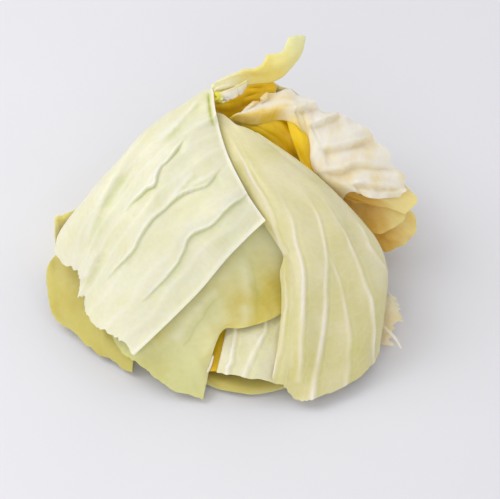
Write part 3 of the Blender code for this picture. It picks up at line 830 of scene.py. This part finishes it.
def outer_leaf_left():
    """The broad pale leaf on the left. Its lowest rib is its bottom edge, and it wraps round the back."""
    rows = [
        seen(
            (-35, -32, 12), (-25, -22.5, 20), (-15, -12.5, 28),
            (-7, -3, 34.5), (0, 4.2, 39.5), (4.5, 8.5, 42),
        ),
        seen(
            (-42, -26.5, 13), (-32.5, -15.5, 24), (-22.5, -5, 34),
            (-18, 1, 38), (-10.5, 8.5, 43), (-1, 17, 47),
        ),
        seen(
            (-48, -19, 13), (-42, -9.5, 23), (-36, -2, 32),
            (-28.5, 8, 41), (-18.5, 18.5, 46.5), (-6, 26.5, 50.5),
        ),
        seen(
            (-49.5, -14, 16), (-45, -4.5, 25), (-39.5, 4.5, 34),
            (-32, 14.5, 43), (-24.5, 24.5, 48.5), (-8.5, 34, 52.5),
        ),
        seen(
            (-51, -9.5, 19), (-47.5, 0.5, 27.5), (-42.5, 10, 36),
            (-35, 20.5, 43), (-26, 30.5, 49), (-10, 40.5, 54),
        ),
        seen(
            (-56.5, -2.5, 20), (-54, 4.5, 27), (-48, 13, 35), (-40, 22.5, 42),
            (-30.9, 32.8, 48), (-24.7, 38.7, 50.5), (-17.5, 42.9, 52.8), (-10.8, 46.2, 54),
        ),
        placed((-47, 4, 19), (-40, 9, 28), (-31, 14, 35), (-20, 24, 42), (-7, 33.5, 44)),
        placed((-45.5, 8.5, 12), (-40, 16, 17), (-32, 24, 24), (-20, 32, 31), (-7.5, 38, 34)),
        placed((-44, 12, 3), (-39, 21, 5), (-31, 29, 9), (-20, 35, 14), (-8, 40, 20)),
    ]
    leaf(
        "outer_leaf_left", rows, (-1, -2, 2), CREAM_GREEN, (250, 160),
        limited(folded(LEFT_FOLDS, depth=1.15, width=0.2, reach=6.5, lip=0.13), 0, 0.63),
        limited(folded(LEFT_BRANCHES, depth=0.3, width=0.7, reach=3, lip=0.05), 0, 0.63),
        limited(folded(LEFT_SOFT_FOLDS, depth=0.75, width=1.1, reach=5, lip=0.2), 0, 0.63),
        limited(ribbed(0.15, 13, waver=0.12, seed=9, paleness=0.25), 0, 0.6),
        limited(ribbed(MIDDLE_RIB, 10, seed=3), 0.64, 1),
        limited(rimmed(0.4, 0.9, "first"), 0, 0.3),
        limited(bent(1.9, 10), 0, 0.45),
        limited(rimmed(0.5, 0.7, "end"), 0, 0.63),
        limited(grooved(1.7, 0.5), 0.44, 0.6),
        puckered(0.3, 17, 11, seed=5),
        blistered(0.15, 7, seed=6),
        netted(0.04, 6.5, seed=8),
        start=ragged(0.06, 16, seed=7),
    )


def outer_leaf_right():
    """The broad leaf on the right. Its veins fan down, and its left edge lies under the other one."""
    rows = [
        seen(
            (-10.5, 39.5, 51), (-7.5, 28.5, 48.5), (-3, 18.5, 44.5), (3.5, 8, 39), (9.5, -1.5, 33.5),
            (8.5, -4.5, 31), (9, -14.5, 23.5), (8, -27.5, 14.5), (6, -39, 7),
        ),
        seen(
            (-8, 39, 51), (-3.5, 27.5, 49), (1, 19.5, 46), (6.5, 8.5, 40.5), (11, -1.5, 34.5),
            (12, -14.5, 25), (11, -27.5, 15), (9, -40, 6.5),
        ),
        seen(
            (-6.5, 38, 51), (0.5, 25, 49), (7, 15.5, 45.5), (12, 8, 41),
            (15, -3.5, 34), (15, -17.5, 24), (14.5, -30.5, 14), (13, -44, 3),
        ),
        seen(
            (-4, 36, 51), (5, 25, 49), (14, 16.5, 45), (19, 8.5, 40),
            (21.5, -3, 33), (22, -16, 23.5), (21.5, -29, 13.5), (19.5, -43.5, 3),
        ),
        seen(
            (-1, 35, 50.5), (10, 24.5, 47.5), (19, 15.5, 43), (25.5, 7, 38),
            (29.5, -3.5, 31), (32, -14.5, 22.5), (32.5, -26, 13), (30.5, -38.5, 3),
        ),
        seen(
            (1, 34, 50), (12.5, 24.5, 46), (22, 16, 41.5), (28.5, 7.5, 36),
            (34.5, -2.5, 29), (37, -12, 21.5), (37, -22.5, 13), (35.5, -34, 3),
        ),
        seen(
            (3.5, 32.5, 48), (14, 25.5, 44), (23, 18, 39), (30.5, 10, 34),
            (36.5, 2, 28), (39, -6.5, 21), (39, -17, 13.5), (37.5, -29, 4),
        ),
        placed(
            (11, 18, 38), (20, 15, 34), (30, 9.5, 29), (38.5, 3, 23),
            (43.5, -3.5, 18), (44.5, -11.5, 13), (42.5, -21, 6),
        ),
    ]
    leaf(
        "outer_leaf_right", rows, (1, -2, 2), PALE_GREEN, (260, 170),
        veined(RIGHT_VEINS, crest=0.55, narrow=0.35, wide=0.9, rise=0.45, seed=12),
        growing(puckered(0.4, 13, 9, seed=13)),
        blistered(0.15, 6, seed=14),
        netted(0.05, 6, seed=15),
        end=ragged(0.025, 12, seed=17),
        # Painted shade on the strip under the left leaf's edge; also deeper towards the bottom and at the
        # very top
        tone=most(toned("u", 0.16, 0.03), toned("v", 0.5, 1.3), faint(0.3, toned("v", 0.35, 0.1))),
    )


def front_flap_leaf():
    """The pale flap between the two outer leaves, which flares at the bottom."""
    rows = [
        seen((-6.4, -17, 13.5), (-6.8, -22.3, 13.2), (-8.2, -29.5, 11.3), (-9.7, -35.6, 8.5)),
        seen((-4, -16.5, 14.5), (-4.2, -22.5, 14.2), (-5.2, -29.8, 12.2), (-6.6, -36.2, 8.5)),
        seen((0.2, -16, 15.5), (0, -22.5, 15), (-1, -30, 12.6), (-2.6, -36.8, 8.5)),
        seen((5.5, -16, 16.8), (5.3, -22.5, 15.6), (4, -30.3, 12.6), (2, -37.8, 7.8)),
        seen((12, -16, 19.5), (11.5, -22.5, 15.8), (10.5, -30.5, 11), (7.5, -39, 5.4)),
    ]
    leaf(
        "front_flap_leaf", rows, (0, -1, 1), FLAP, (80, 120),
        veined(FLAP_VEINS, crest=0.8, narrow=0.5, wide=0.8, seed=17),
        blistered(0.15, 4, seed=18),
        netted(0.04, 5, seed=19),
        end=ragged(0.03, 9, seed=20),
        # Painted shade: the top part, where the under leaf's margin shades it, takes half of the deep colour
        tone=faint(0.5, toned("v", 0.5, 0.3)),
    )


def under_leaf_front():
    """The greener leaf under the bottom edge of the left one, which goes on above the flap as a dip in
    painted shade.
    """
    rows = [
        seen((-43, -21.5, 9.5), (-31.5, -11.5, 18.5), (-20, -1.5, 28.5), (-7, 9, 37), (0, 12, 38.5)),
        seen((-36, -31, 9), (-24.5, -21, 17), (-13, -11, 24.5), (-3, -1, 31), (6, 5.5, 35)),
        seen((-30, -36, 6), (-20.5, -27.5, 12.5), (-11.5, -18, 19.5), (-1.5, -9, 25.5), (10.5, -3, 29)),
        seen((-22.5, -41, 3), (-16.5, -34, 8), (-10.5, -25, 14.5), (-1, -15.5, 20.5), (10.5, -11.5, 22.5)),
        seen(
            (-13.5, -43.5, 1.5), (-12, -36, 6), (-10.6, -29.5, 10.8), (-9.6, -26.3, 13),
            (-7.7, -23.1, 15.2), (-6.8, -22.7, 15.6), (-2, -22.6, 16.4), (4.5, -20.8, 17.6), (10, -18, 18.8),
        ),
    ]
    leaf(
        "under_leaf_front", rows, (-1, -2, 2), LEAF_GREEN, (90, 100),
        veined(UNDER_VEINS, crest=0.5, narrow=1.1, wide=2, seed=23, pale=0.75),
        blistered(0.3, 4.5, seed=24),
        # Painted shade: darker and greener towards the bottom end of the ribs
        crease_shade_towards(0.4, -0.4),
        start=ragged(0.03, 9, seed=26), last=ragged(0.006, 12, seed=27),
        # Painted shade: the dip above the flap, shaded by the left leaf's corner, takes the deep colour
        tone=least(toned("u", 0.5, 0.78), toned("v", 0.5, 0.8)),
    )


def slit_layer():
    """The part of the bottom leaf that comes up behind the slit beside the flap, deep yellow in there."""
    rows = [
        seen((-13, -21, 11), (-14, -28, 8), (-15, -35, 4.5)),
        seen((-9, -21, 12.2), (-9.6, -28, 9.6), (-11, -35, 6.4)),
        seen((-4, -21, 12), (-5, -28, 9.4), (-6.5, -35, 6)),
    ]
    leaf(
        "base_leaf", rows, (0, -1, 1), DEEP_YELLOW, (30, 40), blistered(0.2, 3, seed=64), part="slit_layer",
    )


def slit_sliver():
    """A pale sliver of the cut margin that stands up in the slit."""
    rows = [
        seen((-10.6, -30.4, 11.2), (-11.4, -33, 9.4), (-12.5, -35.2, 7.6)),
        seen((-10.4, -30.8, 10.8), (-11, -33.3, 9), (-12, -35.5, 7.2)),
    ]
    leaf("under_leaf_front", rows, (0, -1, 1), LIP, (8, 30), part="slit_sliver", thickness=SHRED_BLADE)


def under_leaf_left():
    """The edge of a lower layer, below the ragged edge of the left leaf."""
    rows = [
        seen((-52, 2, 17), (-47.5, -5.5, 15), (-42.5, -12.5, 12), (-31.5, -24, 9)),
        seen((-57.5, -3.5, 14.5), (-54.5, -11.5, 11), (-49, -19, 8.5), (-33.5, -31.5, 5.5)),
        seen((-59, -11, 8), (-56.5, -19, 4), (-49.5, -27, 2), (-34, -36.5, 1)),
    ]
    leaf(
        "under_leaf_left", rows, (-1, -1, 1), UNDER_LAYER, (40, 90),
        puckered(0.4, 5, 9, seed=29),
        blistered(0.2, 4, seed=30),
        last=ragged(0.12, 14, seed=28),
    )


# The leaves that show at the top and spill out behind


def crinkled_leaf():
    """The cream inner leaf at the back right, folded into strong ridges that run out to its edge."""
    rows = [
        seen((-6.4, 37.4, 49.2), (-3.4, 38.9, 50.9), (1.4, 41.2, 50.6)),
        seen((1.6, 35.8, 46.5), (3.8, 40.2, 50.2), (7.6, 45.8, 47.4)),
        seen((9, 37.2, 46), (10.6, 41.2, 49.5), (14.4, 44.9, 46)),
        seen((14.4, 35, 46), (17.8, 38.2, 46), (21.6, 40.1, 42.5)),
        seen((16.2, 28.6, 38), (18, 30.5, 42.6), (24.4, 35, 42.5), (30.5, 37.5, 38)),
        seen((16.4, 24.6, 34), (18.6, 26.6, 40.3), (28.2, 30.6, 39.5), (37.7, 31.5, 33.5)),
        seen((18, 20.8, 30), (20.4, 22.6, 38), (31.6, 24.9, 36.5), (42.6, 24, 29.5)),
        seen((21.8, 16.4, 27), (24.4, 19, 35.5), (34.5, 19.4, 33.5), (45.7, 18.5, 26.5)),
        seen((26, 13, 24.5), (28.6, 16.3, 32), (35.5, 15, 31), (43.9, 15.2, 26)),
    ]
    leaf(
        "crinkled_leaf", rows, (1, 0, 2), CREAM, (220, 90),
        folded(CREAM_FOLDS, depth=2.1, width=0.9, reach=5, lip=0.4),
        frilled(0.7, 8, seed=37),
        blistered(0.12, 6, seed=32),
        netted(0.03, 4, seed=33),
        end=ragged(0.05, 26, seed=34),
        # Painted shade in gold: half along the inner edge, full on the arm's underside under its curl, a
        # little at its outer end
        tone=most(
            faint(0.5, toned("v", 0.3, -0.05)),
            least(toned("u", 0.3, 0.2), toned("v", 0.45, 0.25)),
            faint(0.4, least(toned("u", 0.16, 0.1), toned("v", 0.55, 0.75))),
        ),
    )


def tip_leaf():
    """The narrow leaf whose blunt end sticks up above the top."""
    rows = [
        seen(
            (-12, 47.2, 56), (-7, 50, 55.8), (-2, 51.8, 55.5),
            (2.5, 53, 55.5), (5, 56.2, 56), (9, 57, 57), (11, 61.3, 59.4),
        ),
        seen(
            (-11, 45.8, 55.2), (-5.5, 48.3, 54), (0, 50, 53),
            (5.5, 51.5, 53), (11.5, 56, 56), (13.6, 62, 59.3),
        ),
        seen((-10, 45, 55.4), (-4, 46.5, 52.4), (2, 47.5, 50), (8, 49, 49), (14, 55, 54), (16, 61.5, 58.5)),
    ]
    leaf(
        "tip_leaf", rows, (0, 1, 0), TIP, (40, 110),
        puckered(0.25, 5, 9, seed=39),
        blistered(0.15, 3, seed=38),
        crease_shade_towards(0.6, 0.95),
        netted(0.03, 4, seed=40),
        start=ragged(0.05, 5, seed=92), first=ragged(0.07, 13, seed=93), end=ragged(0.02, 4, seed=94),
        tone=toned("v", 0.2, 0.5),
    )


def curled_lip():
    """A torn white margin that curls over at the top of the outer leaves."""
    rows = [
        seen((-10.8, 45.4, 56.2), (-8.2, 45.4, 56.6), (-4.8, 46.6, 56.4), (-0.6, 48.8, 55.2)),
        seen((-10.4, 43.6, 56), (-7.8, 43.3, 55.4), (-4.2, 44.8, 54.6), (-0.8, 47.2, 53.6)),
        seen((-9.6, 42.6, 55.6), (-7.2, 41.8, 53.6), (-3.6, 43.2, 52.4), (-0.9, 45.7, 51.6)),
    ]
    leaf(
        "curled_lip", rows, (0, -1, 1), LIP, (50, 90),
        # Painted shade in the crease colour inside the curl
        blistered(0.25, 2.5, seed=35), crease_shade_towards(0.3, 0.12), limited(crease_shade_towards(0.1, 1.1), 0, 0.16),
        last=ragged(0.32, 11, seed=36), start=ragged(0.08, 6, seed=42), thickness=LIP_BLADE,
    )


def gold_leaf_back():
    """The deep yellow inner leaf that shows in the gap at the top."""
    rows = [
        seen((-11, 45, 48.4), (-6, 46.5, 48.2), (1, 48.5, 47.5), (8, 48.5, 45.5)),
        seen((-11, 41.5, 46.6), (-6, 42.5, 46.4), (1, 44.5, 45.5), (8, 44, 43)),
        seen((-11, 37.5, 42.5), (-6, 38, 42), (1, 39, 40.5), (8.5, 39, 38)),
    ]
    leaf(
        "gold_leaf_back", rows, (0, 1, 0), DEEP_YELLOW, (90, 60),
        ribbed(0.25, 4, seed=42, paleness=0), puckered(0.4, 9, 9, seed=41), blistered(0.25, 3, seed=44),
        end=ragged(0.07, 6, seed=46),
    )


def heart_leaf():
    """The deep yellow leaf of the heart, behind the edge of the right outer leaf."""
    rows = [
        seen((-6, 38, 47.2), (2, 39, 46), (8, 39, 45), (14, 37.5, 43)),
        seen((-3, 36, 46), (3.5, 35, 45), (9, 33.5, 42.5), (15.5, 31, 39.5)),
        seen((-1, 33, 41), (5, 30.5, 39.5), (10, 27.5, 36), (15.5, 24.5, 32)),
    ]
    leaf(
        "heart_leaf", rows, (0, 1, 0), DEEP_YELLOW, (60, 60),
        puckered(0.5, 9, 8, seed=43), blistered(0.25, 3, seed=45),
    )


def heart_fold_leaf():
    """A narrow yellow fold beside the heart leaf."""
    rows = [
        seen((10.5, 37.5, 46), (12, 32, 43.5), (15.4, 23, 36.5)),
        seen((13, 37.5, 46.5), (15, 31.5, 43.5), (18, 22, 35.5)),
        seen((15.8, 36.5, 45), (18, 31, 41), (20.4, 22, 34)),
    ]
    leaf(
        "heart_fold_leaf", rows, (0, -1, 1), DEEP_YELLOW, (30, 50),
        puckered(0.3, 4, 7, seed=47), blistered(0.2, 2.5, seed=48),
    )


def petal_leaf(name, rows, cells, seed, edge_seed):
    """One of the three yellow leaves that look out from under the crinkled one."""
    leaf(
        name, rows, (1, 0, 1), YELLOW, cells,
        puckered(0.35, 6, 8, seed=seed), blistered(0.2, 3, seed=seed + 1),
        # Painted shade: the inner ends, under the leaf above, are a deeper gold
        end=ragged(0.05, 9, seed=edge_seed), tone=toned("v", 0.75, 0.35),
    )


def petal_leaf_upper():
    """The highest of the three."""
    rows = [
        placed((21, 23, 34), (31, 22.5, 31.5), (40, 23, 28), (46, 24, 24)),
        np.vstack([placed((25, 17, 32)), seen((26.5, 18.5, 30.5), (35, 19.5, 28), (44.5, 19, 24))]),
        np.vstack([placed((27, 14, 30)), seen((28.5, 15.5, 28.5), (37, 15.5, 26.5), (48.5, 15, 23.5))]),
        seen((29.5, 13.5, 25.5), (37.5, 12.5, 24), (45.5, 10, 21)),
    ]
    petal_leaf("petal_leaf_upper", rows, (60, 70), seed=53, edge_seed=52)


def petal_leaf_middle():
    """The one below it."""
    rows = [
        placed((26, 21, 27), (36, 20, 25), (44, 20, 22), (49.5, 20, 19)),
        seen((25, 15.5, 24.5), (36, 14.5, 23), (44.5, 13, 19.8)),
        seen((27.5, 11, 21), (37.5, 9.5, 20), (45, 9.5, 18)),
        seen((31, 6.5, 17.5), (37.5, 4.5, 17), (43, 7.5, 16)),
    ]
    petal_leaf("petal_leaf_middle", rows, (60, 70), seed=57, edge_seed=56)


def petal_leaf_lower():
    """The lowest of the three."""
    rows = [
        placed((37, 20, 18), (44, 19, 16.5), (51, 19, 14)),
        seen((31.5, 10, 16.5), (39.5, 9, 15.5), (47.5, 10, 14)),
        seen((34.5, 5, 14), (41, 4, 13), (48.5, 5.5, 12)),
        seen((37.5, -0.5, 9.5), (40.5, -0.5, 9), (46.5, 3, 9.5)),
    ]
    petal_leaf("petal_leaf_lower", rows, (60, 60), seed=59, edge_seed=55)


def inner_leaf_right():
    """A cupped inner leaf on the right, which the yellow ones lie on."""
    rows = domed((4, 6), -58, 122, count=9)
    leaf(
        "inner_leaf_right", rows, (1, 1, 0), BUTTER, (130, 60),
        ribbed(MIDDLE_RIB, 7, sharp=2, seed=83), blistered(0.25, 5, seed=84), netted(0.12, 5, seed=85),
        end=ragged(0.06, 12, seed=89),
    )


def inner_leaf_left():
    """A cupped inner leaf on the left, under the outer one."""
    rows = domed((-4, 4), 130, 225)
    leaf(
        "inner_leaf_left", rows, (-1, 0, 0), BUTTER, (80, 50),
        ribbed(MIDDLE_RIB, 4, sharp=2, seed=97), blistered(0.25, 5, seed=98), end=ragged(0.06, 12, seed=101),
    )


def torn_leaf_right():
    """A jagged scrap of a lower leaf at the right, behind the edge of the right outer leaf."""
    rows = [
        seen((34, -9, 8), (38, -11.6, 9.5), (43.4, -14.8, 10)),
        seen((33.5, -14, 6), (38.5, -16, 7.5), (46, -19.2, 8)),
        seen((33, -19, 4), (38.5, -21, 4.5), (44.5, -24, 5)),
        seen((32, -25, 2), (37, -27, 1.8), (42.5, -28, 2)),
    ]
    leaf(
        "torn_leaf_right", rows, (1, 0, 1), TORN, (90, 60), blistered(0.25, 3, seed=62),
        end=ragged(0.24, 8, seed=61, fine=0.5), tone=toned("u", 0.1, 0.6),
    )


def torn_shred():
    """A thin shred that hangs from the torn edge."""
    rows = [
        seen((37.2, -20.2, 5), (40.6, -23.6, 5.6), (42.4, -25.8, 5.2), (43.6, -28.4, 4)),
        seen((37, -21.2, 4.8), (39.9, -24.1, 5.4), (41.8, -26.2, 5), (43.3, -28.6, 3.8)),
    ]
    leaf("torn_leaf_right", rows, (1, 0, 1), TORN, (8, 40), part="torn_shred", thickness=SHRED_BLADE)


# The leaves underneath and behind


def base_leaf():
    """The cupped leaf at the bottom, ribbed side down, which carries the others on its flat spot."""
    rows = [
        placed((-22, -30, 4), (-8, -37, 3.5), (6, -41.5, 3.5), (21, -37, 4), (32, -30, 5)),
        placed((-37, -18, 4.5), (-16, -22, 1.2), (4, -23, 0.8), (22, -21, 1.5), (38, -14, 4.5)),
        placed((-39, 2, 4.5), (-18, -1, 0.6), (0, -1, 0), (20, -1, 0.6), (38, 3, 4.5)),
        placed((-34, 20, 4), (-18, 18, 1), (0, 20, 0.8), (20, 18, 1), (33, 20, 4)),
        placed((-22, 33, 4), (-12, 40.5, 3.5), (0, 44.5, 4), (14, 44.5, 4), (26, 38.5, 4)),
    ]
    leaf(
        "base_leaf", rows, (0, 0, -1), BASE, (120, 100),
        ribbed(MIDDLE_RIB, 7, sharp=2, seed=109), blistered(0.2, 5, seed=110), netted(0.12, 6, seed=111),
        start=ragged(0.05, 9, seed=103), end=ragged(0.07, 10, seed=107), last=ragged(0.02, 9, seed=108),
        thickness=THICK_BLADE,
        sunk=BASE_SPOT_CUT,
    )


def back_leaf():
    """The upright leaf that closes the back, from the ground to just under the tip."""
    rows = [
        placed((-15, 44, 3), (-16, 46, 16), (-13, 42.5, 30), (-8, 36, 42)),
        placed((-4, 46, 2), (-4, 48, 18), (-2, 46, 36), (1, 39, 48)),
        placed((8, 46, 2), (9, 48, 18), (10, 46.5, 35), (10, 44, 43.5)),
        placed((20, 42, 2), (22, 44, 17), (22, 43.5, 30), (19, 41.5, 38)),
        placed((31, 36, 2), (34, 37, 13), (33, 36, 24), (31, 33, 32)),
        placed((38, 29, 2), (42, 29.5, 9), (42, 29.5, 16), (40, 28.5, 20)),
    ]
    leaf(
        "back_leaf", rows, (1, 2, 0), PALE_GREEN, (150, 90),
        ribbed(MIDDLE_RIB, 5, sharp=2, seed=67), puckered(0.3, 11, 9, seed=71),
        blistered(0.25, 5, seed=70), netted(0.14, 6, seed=72),
        end=ragged(0.04, 10, seed=73),
    )


def back_skirt_leaf():
    """The low yellow leaf outside the left one at the back. Its corner looks out at the left."""
    rows = [
        placed((-49, 4, 1), (-51, 6, 11), (-50.5, 9.5, 21.5)),
        placed((-43, 17, 1), (-45.5, 17, 9), (-45, 15, 17.5)),
        placed((-35, 27, 1), (-38, 28, 6), (-38.5, 27, 11)),
        placed((-24, 35, 1), (-26, 37, 8), (-26.5, 36.5, 16)),
        placed((-13, 38, 1), (-14, 41, 8), (-14, 42.5, 15)),
    ]
    leaf(
        "back_skirt_leaf", rows, (-1, 1, 0), SKIRT, (130, 50),
        ribbed(FAINT_RIB, 4, seed=79), blistered(0.25, 4, seed=80), netted(0.12, 5, seed=81),
        end=ragged(0.06, 14, seed=82),
    )


# The floor, the light and the camera


def floor_finish():
    """Matt painted board: one pale tone with the faint unevenness of a rolled coat."""
    material = empty_material("pale_painted_board")
    tree = material.node_tree
    place = add_node(tree, "ShaderNodeTexCoord").outputs["Object"]
    cloud = add_node(
        tree, "ShaderNodeTexNoise", {"Vector": place, "Scale": 1 / (FLOOR_CLOUD_SIZE * MM), "Detail": 2}
    )
    tone = add_node(
        tree, "ShaderNodeMix",
        {"Factor": cloud.outputs["Fac"], MIX_BELOW: srgb("#E6E5EA"), MIX_ABOVE: srgb("#E2E2E7")},
        data_type="RGBA",
    )
    surface = add_node(
        tree, "ShaderNodeBsdfPrincipled", {"Base Color": tone.outputs[MIX_RESULT], "Roughness": 0.7}
    )
    add_node(tree, "ShaderNodeOutputMaterial", {"Surface": surface.outputs[0]})
    return material


def add_floor():
    bpy.ops.object.select_all(action="DESELECT")
    bpy.ops.mesh.primitive_plane_add(size=FLOOR_WIDTH * MM)
    floor = bpy.context.object
    floor.name = "floor"
    floor.data.materials.append(floor_finish())


def add_softbox(name, place, power):
    """A square softbox at a place in mm, aimed at the middle of the object."""
    light = bpy.data.lights.new(name, "AREA")
    light.shape = "SQUARE"
    light.size = SOFTBOX_SIZE * MM
    light.energy = power
    box = bpy.data.objects.new(name, light)
    box.location = [c * MM for c in place]
    aim = np.array(SOFTBOX_AIM) - np.array(place)
    box.rotation_euler = Vector(aim).to_track_quat("-Z", "Y").to_euler()
    bpy.context.scene.collection.objects.link(box)


def add_light():
    """A white sky all round, a softbox from the upper left and a weaker one from the front."""
    scene = bpy.context.scene
    world = bpy.data.worlds.new("studio")
    scene.world = world
    world.use_nodes = True
    sky = world.node_tree.nodes["Background"]
    sky.inputs["Color"].default_value = srgb("#FFFFFF")
    sky.inputs["Strength"].default_value = SKY_STRENGTH
    add_softbox("softbox_upper_left", (-480, 120, 600), power=2.2)
    add_softbox("softbox_front", (-100, -620, 420), power=0.9)
    scene.view_settings.view_transform = "Standard"


def add_camera():
    """A camera that sees just the front view, VIEW_WIDTH across at its middle."""
    data = bpy.data.cameras.new("front_view")
    data.sensor_width = SENSOR_WIDTH
    data.lens = SENSOR_WIDTH * VIEW_DISTANCE / VIEW_WIDTH
    camera = bpy.data.objects.new("front_view", data)
    camera.location = (np.array(VIEW_TARGET) + TOWARDS_VIEW * VIEW_DISTANCE) * MM
    camera.rotation_euler = Vector(-TOWARDS_VIEW).to_track_quat("-Z", "Y").to_euler()
    bpy.context.scene.collection.objects.link(camera)
    bpy.context.scene.camera = camera


def main():
    outer_leaf_left()
    outer_leaf_right()
    front_flap_leaf()
    under_leaf_front()
    slit_layer()
    slit_sliver()
    under_leaf_left()
    crinkled_leaf()
    tip_leaf()
    curled_lip()
    gold_leaf_back()
    heart_leaf()
    heart_fold_leaf()
    petal_leaf_upper()
    petal_leaf_middle()
    petal_leaf_lower()
    inner_leaf_right()
    inner_leaf_left()
    torn_leaf_right()
    torn_shred()
    base_leaf()
    back_leaf()
    back_skirt_leaf()
    add_floor()
    add_light()
    add_camera()


main()
